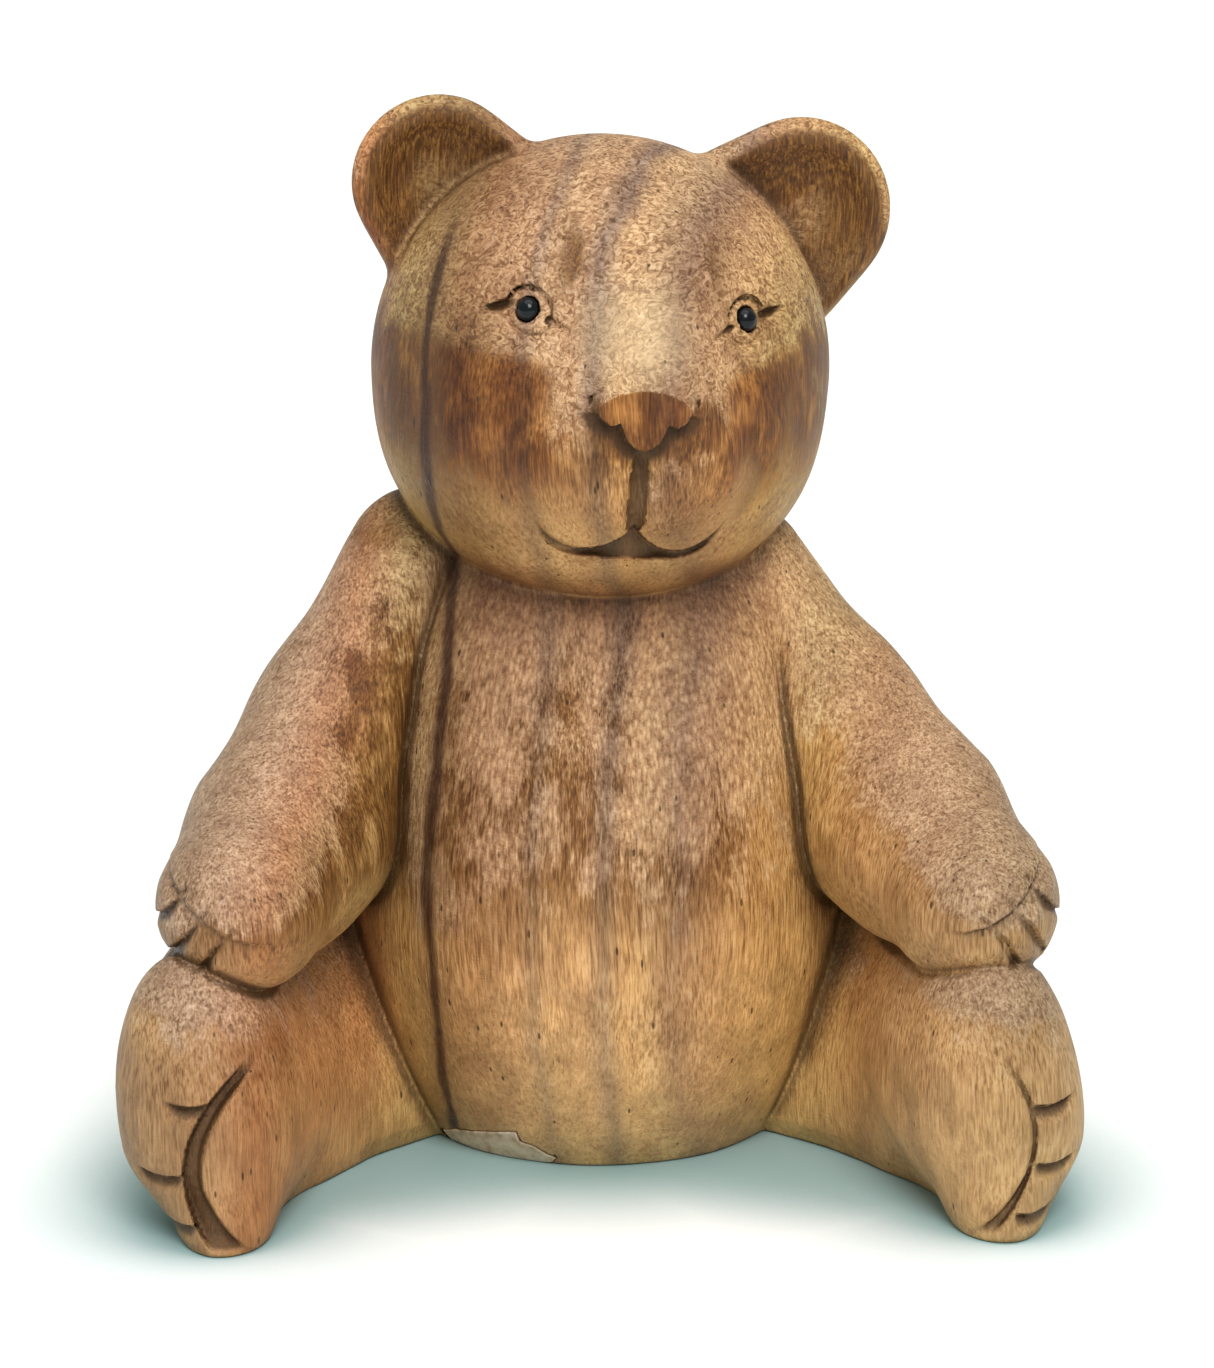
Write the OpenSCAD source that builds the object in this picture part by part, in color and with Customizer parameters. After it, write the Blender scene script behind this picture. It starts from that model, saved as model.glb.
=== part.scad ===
// A seated bear carved from one block of wood, with glossy black bead eyes pressed into drilled
// sockets and a patch of wood filler in the lower front edge of the belly.
// The bear sits on z = 0 and looks along -Y. Millimetres.

/* [Head] */
// Diameter of the round skull
head_d = 64.4; // [60:0.2:68]
// Height of the middle of the skull above the base
head_z = 111.7; // [108:0.1:115]
// How far the skull sits forward of the body's axis
head_forward = 6; // [3:0.5:9]
// Turn of the face towards +X, in degrees
head_turn = 6.5; // [-10:0.5:10]
// Lean of the head towards +X, in degrees
head_lean = 4.5; // [-6:0.5:6]
// Extra lean of the two ears towards +X, in degrees
ear_lean = 3.5; // [-4:0.5:6]
// How far the muzzle stands out from the middle of the skull
muzzle_reach = 34.5; // [33:0.5:37]
// Width across one round ear
ear_d = 23.4; // [20:0.5:27]
// Thickness of an ear at its rim
ear_thick = 7; // [5:0.5:9]
// Depth of the hollow in the front of an ear
ear_cup = 3.5; // [2:0.5:5]

/* [Body] */
// Widest part of the belly
belly_w = 73; // [68:0.5:78]
// Depth of the belly from front to back
belly_depth = 74; // [70:0.5:78]
// Height of the widest part of the belly
belly_z = 38; // [34:0.5:42]
// Width of the neck under the head
neck_w = 38; // [32:0.5:44]

/* [Arms] */
// Height of the shoulders
shoulder_z = 84.5; // [82:0.5:90]
// How much the shoulders slope down towards +X
shoulder_slope = 5; // [0:0.5:7]
// Thickness of an arm at the shoulder
shoulder_d = 22; // [19:0.5:25]
// Thickness of an arm at the wrist
wrist_d = 26; // [23:0.5:28]
// Height of the middle of a paw
paw_z = 43; // [41:0.5:46]
// Distance of a paw from the body's middle plane
paw_x = 48; // [46:0.5:50]

/* [Legs] */
// Height of a leg that lies on its outer side
leg_h = 39; // [36:0.5:41]
// Thickness of a leg
leg_w = 25; // [22:0.5:27]
// How far the soles stand forward of the body's axis
foot_reach = 58; // [54:0.5:62]
// Distance of a foot's middle from the body's middle plane
foot_x = 53.5; // [50:0.5:56]
// How far the arms and legs lie over towards -X
limb_shift = 1.1; // [0:0.1:3]

/* [Eyes] */
// How far an eye is turned from straight ahead, in degrees
eye_az = 31; // [27:0.5:33]
// How far an eye looks up, in degrees
eye_el = 22; // [18:0.5:26]
// Diameter of a bead
eye_d = 3.4; // [2.6:0.1:4.2]
// Length of the peg behind a bead's dome
eye_peg = 5; // [3:0.5:7]

/* [Carving] */
// Width of the chisel cuts between toes and in the mouth
cut_w = 1.1; // [0.6:0.1:1.6]
// Width of the hollow between the toes and the sole pad
channel_w = 3.6; // [2.5:0.1:5]

/* [Base filler] */
// Length of the filled patch along the belly's lower edge
filler_l = 15; // [10:0.5:18]
// Height of the filled patch above the base
filler_h = 5; // [3:0.5:7]

/* [Hidden] */
$fn = 32;

wood = "#b88a5c";
bead = "#15161c";
filler_pale = "#d8c3a0";

head_r = head_d / 2;
head_at = [0, -head_forward, head_z];
muzzle_size = [19, 19, 16];
muzzle_at = [0, muzzle_size[1] - muzzle_reach, -9];
ear_r = ear_d / 2;
ear_angle = 45;
ear_back = 5;

belly_at = [0, 0, belly_z];
belly_size = [belly_w / 2, belly_depth / 2, belly_z * 1.42];
chest_size = [neck_w * 0.66, neck_w * 0.66, 30];
chest_at = [0, 0, head_z - head_d / 2 - 5.5];

elbow_at = [36.3, -12, 62];
wrist_at = [44, -24, 51];
flank_at = [32, -12, 46];
flank_d = 20;
paw_at = [paw_x, -37, paw_z];
paw_size = [wrist_d / 2 + 0.3, wrist_d / 2 + 0.5, wrist_d / 2 - 2];

leg_mid_z = leg_h * 0.4;
foot_r = leg_w / 2 - 0.4;
foot_at = [foot_x, foot_r - foot_reach, leg_mid_z];
leg_path = [
    [22, 2, leg_mid_z],
    [46.5, -24, leg_mid_z],
    foot_at
];
leg_r = [leg_w / 2 + 1, leg_w / 2 - 0.6, foot_r];

// Middle of the outline, so that the base is centred on the origin
middle = [-0.9, (belly_depth / 2 - foot_reach) / 2, 0];

eye_seat_r = head_r - 0.7;
peg_clear = 0.04;
socket_flare = 4;
flare_h = 1.6;

// The two halves of a leg differ by this much, so that their faces never lie exactly on each other
seam = 0.1;

filler_at = [-14, -26, 0];
filler_turn = -25;
filler_deep = 5;

// How far out from the middle of a foot the hollow beside its toes runs
channel_out = 3.5;

// Direction from an azimuth towards +X and a height, both in degrees, measured from straight ahead
function ahead(az, el) = [sin(az) * cos(el), -cos(az) * cos(el), sin(el)];

// How far an oval's surface lies in front of its middle, at a distance across and a height
function oval_front(size, across, up) = size[1] * sqrt(1 - pow(across / size[0], 2) - pow(up / size[2], 2));

// A point of a limb on the bear's right (side = -1) or left (side = 1)
function beside(side, p) = [side * p[0] - limb_shift, p[1], p[2]];

module ball(at, d) {
    translate(at) sphere(d = d);
}

// An oval solid with its three half sizes
module oval(at, size, fine = 32) {
    translate(at) scale(size) sphere(r = 1, $fn = fine);
}

module torso() {
    hull() {
        oval(belly_at, belly_size, 52);
        oval(chest_at, chest_size);
    }
}

// Places children in the head's own frame: middle of the skull, face along -Y
module in_head() {
    translate(head_at) rotate([0, head_lean, 0]) rotate([0, 0, head_turn]) children();
}

module skull() {
    sphere(d = head_d, $fn = 52);
    hull() {
        oval(muzzle_at, muzzle_size);
        oval(muzzle_at + [0, 12, 6], muzzle_size);
    }
}

module nose() {
    front = -muzzle_reach + 1.5;
    hull() {
        oval([0, front + 1.5, 2], [6.5, 3.4, 2.6]);
        oval([0, front, -3.5], [2.4, 2.4, 2.4]);
    }
}

module ear(side) {
    hollow_r = ear_r - 2;
    rotate([0, side * ear_angle + ear_lean, 0]) {
        difference() {
            hull() {
                oval([0, ear_back, head_r + 2.4], [ear_r, ear_thick / 2, ear_r]);
                oval([0, ear_back, head_r - 6], [ear_r - 1, ear_thick / 2, ear_r - 1]);
            }
            oval([0, ear_back - ear_thick / 2, head_r + 2.2], [hollow_r, ear_cup, hollow_r]);
        }
    }
}

module head() {
    in_head() {
        skull();
        nose();
        for (side = [-1, 1]) {
            ear(side);
        }
    }
}

// A round-bottomed cut along a row of points
module groove(points, d) {
    for (i = [0 : len(points) - 2]) {
        hull() {
            translate(points[i]) sphere(d = d, $fn = 9);
            translate(points[i + 1]) sphere(d = d, $fn = 9);
        }
    }
}

// A point of the muzzle's surface
function on_muzzle(x, z) = [x, muzzle_at[1] - oval_front(muzzle_size, x, z - muzzle_at[2]), z];

module mouth_cuts() {
    lip_z = -17;
    in_head() {
        groove([for (z = [-6 : -3.5 : lip_z]) on_muzzle(0, z)], cut_w * 1.6);
        for (side = [-1, 1]) {
            groove([for (i = [0 : 4]) on_muzzle(side * 3.2 * i, lip_z - 2 * sin(45 * i))], cut_w * 1.4);
        }
    }
}

function shoulder_at(side) = beside(side, [
    22.5 - side * shoulder_slope * 0.3,
    -5,
    shoulder_z - side * shoulder_slope / 2
]);

module arm(side) {
    hull() {
        ball(shoulder_at(side), shoulder_d);
        ball(beside(side, elbow_at), shoulder_d + 2);
    }
    hull() {
        ball(beside(side, elbow_at), shoulder_d + 1.7);
        ball(beside(side, wrist_at), wrist_d);
        ball(beside(side, flank_at), flank_d);
        oval(beside(side, paw_at), paw_size);
    }
}

// A point of a paw's surface, from a turn outward from straight ahead and an angle down
function on_paw(side, turn, down) = beside(side, paw_at + [
    paw_size[0] * sin(turn) * cos(down),
    -paw_size[1] * cos(turn) * cos(down),
    -paw_size[2] * sin(down)
]);

// Three cuts that part the fingers at the outer front of a paw
module paw_cuts(side) {
    for (turn = [12, 38, 64]) {
        groove([for (down = [-5, 15, 35]) on_paw(side, turn, down)], cut_w);
    }
}

module leg(side) {
    for (half = [0, 1]) {
        hull() {
            for (end = [half, half + 1]) {
                r = leg_r[end] - 2 * seam * half * (2 - end);
                oval(beside(side, leg_path[end]), [r, r, leg_h - leg_mid_z - seam * half]);
            }
        }
    }
}

// A point of a foot's front, at a distance outward from its middle and a height
function on_foot(side, out, z) = beside(side, [
    foot_x + out,
    foot_at[1] - oval_front([foot_r, foot_r, leg_h - leg_mid_z], out, z - leg_mid_z),
    z
]);

// Hollow between the toe band on the outer edge of a foot and its sole pad, and the toe cuts
module foot_cuts(side) {
    channel_z = leg_h * [0.13, 0.285, 0.44, 0.595, 0.75];
    toe_z = leg_h * [0.22, 0.42, 0.62];
    toe_out = [channel_out + 1.7, channel_out + 4, channel_out + 6.6];
    groove([for (z = channel_z) on_foot(side, channel_out, z)], channel_w);
    for (z = toe_z) {
        groove([for (out = toe_out) on_foot(side, out, z)], cut_w);
    }
}

// Places children on an eye: the origin on the skull, +Z straight out
module at_eye(side) {
    in_head() {
        out = ahead(side * eye_az, eye_el);
        translate(eye_seat_r * out)
            rotate([0, 90 - eye_el, atan2(out[1], out[0])]) children();
    }
}

module eye_socket(side) {
    at_eye(side) {
        translate([0, 0, -eye_peg]) cylinder(d = eye_d + 2 * peg_clear, h = 2 * eye_peg);
        cylinder(d1 = eye_d + 0.6, d2 = eye_d + socket_flare, h = flare_h);
    }
}

module bead_eye(side) {
    at_eye(side) {
        translate([0, 0, -eye_peg]) cylinder(d = eye_d, h = eye_peg);
        intersection() {
            translate([0, 0, -0.35 * eye_d]) sphere(d = eye_d * 1.22);
            cylinder(d = eye_d, h = eye_d);
        }
    }
}

// The body's outer shape before the cuts
module block() {
    torso();
    head();
    for (side = [-1, 1]) {
        arm(side);
        leg(side);
    }
}

// Space that the filler takes from the belly's lower front edge
module filler_space() {
    hull() {
        translate(filler_at) rotate([0, 0, filler_turn])
            scale([filler_l / 2, filler_deep, 1]) cylinder(r = 1, h = filler_h / 2);
        translate(filler_at - [1, 1, 0]) rotate([0, 0, filler_turn])
            scale([filler_l / 3, filler_deep - 1, 1]) cylinder(r = 1, h = filler_h);
    }
}

module below_base() {
    translate([-100, -100, -100]) cube([200, 200, 100]);
}

module carved_bear() {
    color(wood) translate(-middle) difference() {
        block();
        below_base();
        mouth_cuts();
        for (side = [-1, 1]) {
            eye_socket(side);
            paw_cuts(side);
            foot_cuts(side);
        }
        filler_space();
    }
}

module left_eye() {
    color(bead) translate(-middle) bead_eye(1);
}

module right_eye() {
    color(bead) translate(-middle) bead_eye(-1);
}

module base_filler() {
    color(filler_pale) translate(-middle) intersection() {
        filler_space();
        block();
    }
}

carved_bear();
left_eye();
right_eye();
base_filler();
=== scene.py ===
"""Looks of the carved bear: its sculpted wood, bead eyes, filler patch, floor, light and camera."""
import math

import bmesh
import bpy
import numpy as np
import openvdb
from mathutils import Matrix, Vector


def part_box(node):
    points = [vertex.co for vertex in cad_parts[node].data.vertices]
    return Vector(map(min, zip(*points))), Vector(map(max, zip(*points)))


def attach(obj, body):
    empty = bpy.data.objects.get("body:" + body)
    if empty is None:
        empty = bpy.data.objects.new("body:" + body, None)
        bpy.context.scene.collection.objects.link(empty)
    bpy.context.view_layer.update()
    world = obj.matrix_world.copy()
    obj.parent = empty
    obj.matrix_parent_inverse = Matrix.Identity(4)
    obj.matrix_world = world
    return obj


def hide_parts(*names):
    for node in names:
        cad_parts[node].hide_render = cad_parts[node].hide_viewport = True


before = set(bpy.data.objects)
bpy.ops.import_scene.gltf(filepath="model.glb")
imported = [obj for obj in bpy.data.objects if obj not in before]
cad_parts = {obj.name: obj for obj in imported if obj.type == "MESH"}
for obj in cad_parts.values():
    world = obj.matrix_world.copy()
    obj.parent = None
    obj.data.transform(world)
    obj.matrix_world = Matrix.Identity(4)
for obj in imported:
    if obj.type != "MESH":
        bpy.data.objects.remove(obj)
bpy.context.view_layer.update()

# The sculpt is worked out in figure units: millimetres on a bear of FIGURE_HEIGHT, with x = y = 0 on the
# body's axis, z = 0 on the ground, and the face looking along -y.
FIGURE_HEIGHT = 151.0
FOOT_REACH = 58.0  # from the body's axis to the front of the feet
LIMB_SHIFT = 1.1  # how far arms and legs sit to the bear's right of the body's axis
low, high = (np.array(corner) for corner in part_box("carved_bear"))
UNIT = (high[2] - low[2]) / FIGURE_HEIGHT  # metres in one figure unit
AXIS_AT = np.array([(low[0] + high[0]) / 2 + LIMB_SHIFT * UNIT, low[1] + FOOT_REACH * UNIT, low[2]])

SIDES = (-1, 1)  # the bear's right, where x is negative, and its left
DETAIL = 0.38  # voxel of the wood, in figure units
PATCH_DETAIL = 0.3  # voxel of the filler patch
MOST_TRIANGLES = {"bear": 190000, "patch": 20000}  # what each sculpted mesh is thinned to


def to_row(points):
    """Figure units to metres in the row frame."""
    return np.asarray(points, float) * UNIT + AXIS_AT


def to_figure(points):
    """Metres in the row frame to figure units."""
    return (np.asarray(points, float) - AXIS_AT) / UNIT


# ---- distances to simple solids ----
def length(v):
    """Length of each vector in an array whose last axis is x, y, z."""
    return np.sqrt((v * v).sum(-1))


def ramp(x, start, end):
    """Smooth change from 0 to 1 while x goes from start to end."""
    t = np.clip((x - start) / (end - start), 0.0, 1.0)
    return t * t * (3.0 - 2.0 * t)


def smooth_min(a, b, blend):
    """Union of two solids' distances, rounded where they are within blend of each other."""
    h = np.maximum(blend - np.abs(a - b), 0.0) / blend
    return np.minimum(a, b) - h * h * blend * 0.25


def smooth_max(a, b, blend):
    """What two distances have in common, with the edge rounded in the same way."""
    return -smooth_min(-a, -b, blend)


def oval(p, middle, half):
    q = p - np.array(middle)
    k0 = length(q / np.array(half))
    k1 = length(q / np.square(half))
    return k0 * (k0 - 1.0) / np.maximum(k1, 1e-6)


def ball(p, middle, radius):
    return length(p - np.array(middle)) - radius


def limb(p, a, b, ra, rb):
    """Round limb from a to b whose radius goes from ra to rb."""
    a = np.array(a, float)
    axis = np.array(b, float) - a
    q = p - a
    along = np.clip(q @ axis / (axis @ axis), 0.0, 1.0)
    return length(q - along[..., None] * axis) - (ra + (rb - ra) * along)


def turned(axis, degrees):
    """Rotation matrix; points @ matrix go into the turned frame."""
    c, s = math.cos(math.radians(degrees)), math.sin(math.radians(degrees))
    i, j = {"x": (1, 2), "y": (2, 0), "z": (0, 1)}[axis]
    m = np.eye(3)
    m[i, i] = m[j, j] = c
    m[j, i] = s
    m[i, j] = -s
    return m


# ---- the head, in its own frame, which leans and turns on the neck ----
HEAD_AT = np.array([0.0, -6.0, 111.7])
HEAD_R = 32.1
HEAD_LEAN = 4.5  # degrees, towards the bear's left shoulder
HEAD_TURN = 6.5  # degrees, to the bear's left
HEAD_FRAME = turned("y", HEAD_LEAN) @ turned("z", HEAD_TURN)
EAR_TILT = {-1: -44.2, 1: 49.4}  # degrees from upright
EAR_BASE = 24.0  # from the middle of the head to the foot of an ear
EAR_SIZE = {-1: 1.0, 1: 1.1}  # over a standard ear
EAR_OUT = 0.6  # how far an ear's disc is off its axis, outward and down


def in_head(p):
    return (p - HEAD_AT) @ HEAD_FRAME


def muzzle(q):
    block = oval(q, (0, -16, -6), (21, 21.5, 16.5))
    front = ball(q, (0, 26, -4), 61)
    return smooth_max(block, front, 1.5)


def in_ear(q, side):
    """Points in an ear's own frame: z outward from the ear's foot, at the size of a standard ear."""
    r = q @ turned("y", EAR_TILT[side])
    return (r - np.array([0.0, 0.0, EAR_BASE])) / EAR_SIZE[side]


def ear_cup(r, side):
    top = oval(r, (0.7 * side, -4.0, 10.0), (13.0, 7.4, 12.8))
    return smooth_min(top, oval(r, (EAR_OUT * side, -4.0, 1.0), (14.2, 7.4, 10)), 4)


def ear(q, side):
    r = in_ear(q, side)
    disc = oval(r, (EAR_OUT * side, 3.4, 10.6), (11.9, 3.6, 11.6))
    shell = smooth_min(disc, oval(r, (EAR_OUT * side, 3.4, 2), (13.5, 4.4, 10)), 5)
    return smooth_max(shell, -ear_cup(r, side), 0.7) * EAR_SIZE[side]


def ear_cup_share(q, side):
    """1 deep inside an ear's cup, 0 outside it and on its rim."""
    r = in_ear(q, side)
    flat = r * np.array([1.0, 0.0, 1.0])
    disc = oval(flat, (EAR_OUT * side, 0.0, 10.6), (11.9, 9.0, 11.6))
    rim = smooth_min(disc, oval(flat, (EAR_OUT * side, 0.0, 2.0), (13.5, 9.0, 10.0)), 5)
    off_skull = ramp(length(q), HEAD_R + 0.2, HEAD_R + 1.2)
    on_front = ramp(4.2 - r[..., 1], 0.0, 1.5)
    return ramp(-rim, 0.9, 1.8) * off_skull * on_front


def head(q):
    d = length(q) - HEAD_R
    d = smooth_min(d, muzzle(q), 6)
    cheeks = oval(q, (-0.5, -6, -9), (29.0, 25.5, 21.5))
    d = smooth_min(d, cheeks, 5)
    chin = oval(q, (0, -13, -16.5), (16, 15.5, 11))
    d = smooth_min(d, chin, 6)
    bridge = limb(q, (0, -20, 14), (0, -28.2, 4), 8, 7)
    d = smooth_min(d, bridge, 9)
    for side in SIDES:
        d = smooth_min(d, ear(q, side), 1.5)
    return d


# ---- the body and limbs ----
SHOULDER_SLOPE = 1.4  # how much lower the bear's left shoulder is than on a level body, and higher the right
FOOT_OUT = 53.7  # how far out the middle of a foot is
LEG_SQUEEZE = 0.53  # a leg's width over its height
LEG_MIDDLE_Z = 16.0
LEG_LEAN = {-1: -0.08, 1: 0.08}  # how much each leg's top leans to the middle
LEG_OUT = {-1: 1.1, 1: -0.4}  # how much further out each leg is than on an even figure


def beside(side, x, y, z):
    """A point of a limb on the bear's right (side -1) or left (side 1)."""
    return np.array([side * x - LIMB_SHIFT, y, z])


def torso(p):
    belly = oval(p, (0, 0, 36), (36.8, 37.5, 52))
    chest = oval(p, (0, 1, 74), (24, 24, 31))
    return smooth_min(belly, chest, 22)


def arm(p, side):
    slope = SHOULDER_SLOPE * side
    shoulder = beside(side, 22.8 - 1.4 * slope, -5.5, 82.8 - slope)
    elbow = beside(side, 35.3 - 0.9 * slope, -12.5, 62.5)
    wrist = beside(side, 44.5, -24, 50.4)
    paw = beside(side, 50.2 + 0.4 * slope, -39.5, 43.0 - 0.4 * slope)
    d = smooth_min(limb(p, shoulder, elbow, 9.8, 10.7), limb(p, elbow, wrist, 10.7, 12.7), 6)
    d = smooth_min(d, oval(p, paw, (11.8, 13.8, 11.8)), 9)
    under = limb(p, beside(side, 37.5, -16, 46.5), beside(side, 43, -26, 45), 10.6, 10.6)
    return smooth_min(d, under, 8)


def narrowed_foot(p, side):
    """Points moved out from the foot's middle near the ground, which narrows the foot there."""
    narrowing = np.square(np.clip(1.0 - p[..., 2] / 12.0, 0.0, 1.2)) * ramp(-p[..., 1], 30.0, 44.0)
    outward = p[..., 0] - side * FOOT_OUT
    moved = p.copy()
    moved[..., 0] += outward * narrowing * np.where(outward * side > 0.0, 0.6, 0.3)
    return moved


def leg(p, side):
    p = narrowed_foot(p, side)
    squeeze = np.array([1.0, 1.0, LEG_SQUEEZE])
    q = p * squeeze
    q[..., 0] += side * (LEG_LEAN[side] * (p[..., 2] - LEG_MIDDLE_Z) - LEG_OUT[side])
    # the thigh's front leans back from the ground up, so the belly bulges out in front of it
    q[..., 1] -= 0.4 * np.clip(p[..., 2] - 3.0, 0.0, 27.0) * ramp(p[..., 1], -44.0, -16.0)
    hip = beside(side, 22, 0.5, LEG_MIDDLE_Z - 2.0) * squeeze
    knee = beside(side, 46.5, -23, LEG_MIDDLE_Z - 1.0) * squeeze
    foot = beside(side, FOOT_OUT, -46.2, LEG_MIDDLE_Z) * squeeze
    d = smooth_min(limb(q, hip, knee, 12.0, 11.6), limb(q, knee, foot, 11.6, 12.3), 6)
    toes = ball(p, beside(side, 53.2, -52.4, 1.0), 7.6)
    return smooth_min(d, toes, 5)


# ---- tools for carving: cuts are depths to take off, drawn on a front view (u across, v up) ----
def along_path(u, v, path):
    """Distance to a path of (u, v, size) points, and the size at the nearest point."""
    best = np.full(u.shape, 1e9)
    size = np.zeros(u.shape)
    for (u0, v0, s0), (u1, v1, s1) in zip(path, path[1:]):
        du, dv = u1 - u0, v1 - v0
        t = np.clip(((u - u0) * du + (v - v0) * dv) / (du * du + dv * dv), 0.0, 1.0)
        gap = np.hypot(u - u0 - t * du, v - v0 - t * dv)
        near = gap < best
        best = np.where(near, gap, best)
        size = np.where(near, s0 + (s1 - s0) * t, size)
    return best, size


def v_cut(u, v, path, half_width, depth):
    """V-tool cut whose width and depth both follow the path's size."""
    gap, size = along_path(u, v, path)
    size = np.maximum(size, 1e-3)
    return depth * size * np.maximum(1.0 - gap / (half_width * size), 0.0)


def gouge_cut(u, v, path, half_width, depth):
    """Round gouge cut with crisp edges."""
    gap, size = along_path(u, v, path)
    r = gap / (half_width * np.maximum(size, 1e-3))
    return depth * np.sqrt(np.maximum(size, 0.0)) * np.sqrt(np.maximum(1.0 - r * r, 0.0))


def soft_cut(u, v, path, half_width, depth):
    """Rounded hollow that fades out at its sides."""
    gap, size = along_path(u, v, path)
    return depth * size * np.exp(-((gap / half_width) ** 2))


def step_cut(below, depth, slope, edge):
    """Chisel step: a sharp edge at below = 0 and a floor that rises back over the slope's length."""
    return depth * ramp(below, 0.0, edge) * np.clip(1.0 - (below - edge) / slope, 0.0, 1.0)


def outline(u, v, points):
    """Signed distance to a closed outline in the front view, negative inside."""
    gap = np.full(u.shape, 1e9)
    inside = np.zeros(u.shape, bool)
    for (u0, v0), (u1, v1) in zip(points, points[1:] + points[:1]):
        du, dv = u1 - u0, v1 - v0
        t = np.clip(((u - u0) * du + (v - v0) * dv) / (du * du + dv * dv), 0.0, 1.0)
        gap = np.minimum(gap, np.hypot(u - u0 - t * du, v - v0 - t * dv))
        if dv != 0:
            crosses = ((v0 <= v) != (v1 <= v)) & (u < u0 + (v - v0) / dv * du)
            inside ^= crosses
    return np.where(inside, -gap, gap)


# ---- the face ----
NOSE_HALF = [(0.0, 4.1), (2.2, 3.9), (4.2, 3.2), (5.6, 2.3), (6.6, 1.2), (5.9, -0.3), (4.5, -1.2),
             (3.3, -0.6), (2.8, -1.7), (2.2, -3.0), (1.2, -3.9), (0.0, -4.3)]
NOSE = NOSE_HALF + [(-u, v) for u, v in reversed(NOSE_HALF[1:-1])]
NOSE_FRONT = -37.5  # its depth along the head's own y, as for NOSE_BACK
NOSE_BACK = -30.0
NOSTRIL = [(6.0, 3.4, 0.2), (7.3, 2.2, 0.8), (7.4, 0.2, 0.3)]
CHEEK_HOLLOW = [(9.0, 2.0, 0.3), (15.5, -2.5, 0.8), (17.6, -8.5, 1.0), (16.0, -13.5, 0.9), (12.5, -17.5, 0.3)]
EYE_U, EYE_V = 14.8, 11.8
EYE_R = 1.75
FIT_GAP = 0.12  # between a bead and its socket, and between the filler patch and its recess
EYE_SINK = 1.0  # how far the bead's middle lies under the skull's surface
RING_R = 2.75  # of the cut round an eyeball
RING_HALF_WIDTH = 0.42
MOUTH_U = 0.4  # the mouth's middle
LOBE_U, LOBE_V = 6.6, -11.0  # middle of the round lobe over each half of the mouth
LOBE_WIDE, LOBE_HIGH = 7.6, 8.3


def eye_middle(side):
    """Middle of an eye's bead in the head's own frame."""
    y = -math.sqrt((HEAD_R - EYE_SINK) ** 2 - EYE_U**2 - EYE_V**2)
    return np.array([side * EYE_U, y, EYE_V])


def carve_eye(u, v, side):
    """Thin ring cut round a domed eyeball, with a deeper notch to each corner."""
    x, z = side * u - EYE_U, v - EYE_V
    r = np.hypot(x, z * 0.92)
    deeper_above = 0.75 + 0.25 * ramp(z, -1.0, 1.5)
    ring = deeper_above * np.maximum(1.0 - np.abs(r - RING_R) / RING_HALF_WIDTH, 0.0)
    hollow = 0.35 * (1.0 - ramp(r, 2.4, 2.85))
    tip_z = 0.3 + 1.1 * side
    outer = v_cut(x, z, [(2.4, 0.4, 1.0), (3.8, 0.2 + 0.4 * tip_z, 0.9), (6.4, tip_z, 0.1)], 1.2, 1.7)
    inner = v_cut(x, z, [(-2.4, -0.8, 1.0), (-3.8, -1.4, 0.6), (-5.6, -2.0, 0.1)], 0.9, 1.4)
    return np.maximum(np.maximum(ring, hollow), np.maximum(outer, inner))


def carve_mouth(u, v):
    """Two round lobes end in a sharp edge over the hollow of the mouth; a groove runs up to the nose."""
    x = np.abs(u - MOUTH_U)
    across = (x - LOBE_U) / LOBE_WIDE
    lobe_v = LOBE_V - LOBE_HIGH * np.sqrt(np.clip(1.0 - across**2, 0.0, 1.0))
    below = lobe_v - v
    opening = 1.0 + (lobe_v - LOBE_V + LOBE_HIGH) * (1.0 - ramp(x, 3.0, 6.0))
    deep = (1.0 + 1.2 * (1.0 - ramp(x, 1.0, 8.0))) * (1.0 - ramp(x, 10.0, 14.2))
    hollow = deep * ramp(below, -0.1, 0.5) * np.sqrt(np.clip(1.0 - (below - 0.5) / opening, 0.0, 1.0))
    groove = [(0.1, -3.5, 0.85), (0.3, -10.0, 1.0), (MOUTH_U, -14.8, 1.1)]
    return np.maximum(hollow, gouge_cut(u, v, groove, 1.4, 1.3))


def carve_face(q, d):
    """The head's distances d with the mouth, eyes, nostrils, cheek hollows and nose worked in."""
    u, v = q[..., 0], q[..., 2]
    nose_gap = outline(u, v, NOSE)
    under_nose = 1.3 * np.clip(1.0 - nose_gap / 3.2, 0.0, 1.0) * ramp(1.0 - v, 0.0, 1.6)
    cut = np.maximum(carve_mouth(u, v), under_nose)
    for side in SIDES:
        cut = np.maximum(cut, carve_eye(u, v, side))
        cut = np.maximum(cut, v_cut(u * side, v, NOSTRIL, 0.6, 0.9))
        cut = cut + soft_cut(u * side, v, CHEEK_HOLLOW, 2.6, 0.9)
    d = d + cut * ramp(-q[..., 1], 8.0, 14.0)
    nose_front = NOSE_FRONT + 0.03 * u * u
    nose = np.maximum(nose_gap, np.maximum(nose_front - q[..., 1], q[..., 1] - NOSE_BACK))
    d = smooth_min(d, nose, 0.2)
    for side in SIDES:
        d = np.maximum(d, -ball(q, eye_middle(side), EYE_R + FIT_GAP))
    return d


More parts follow.
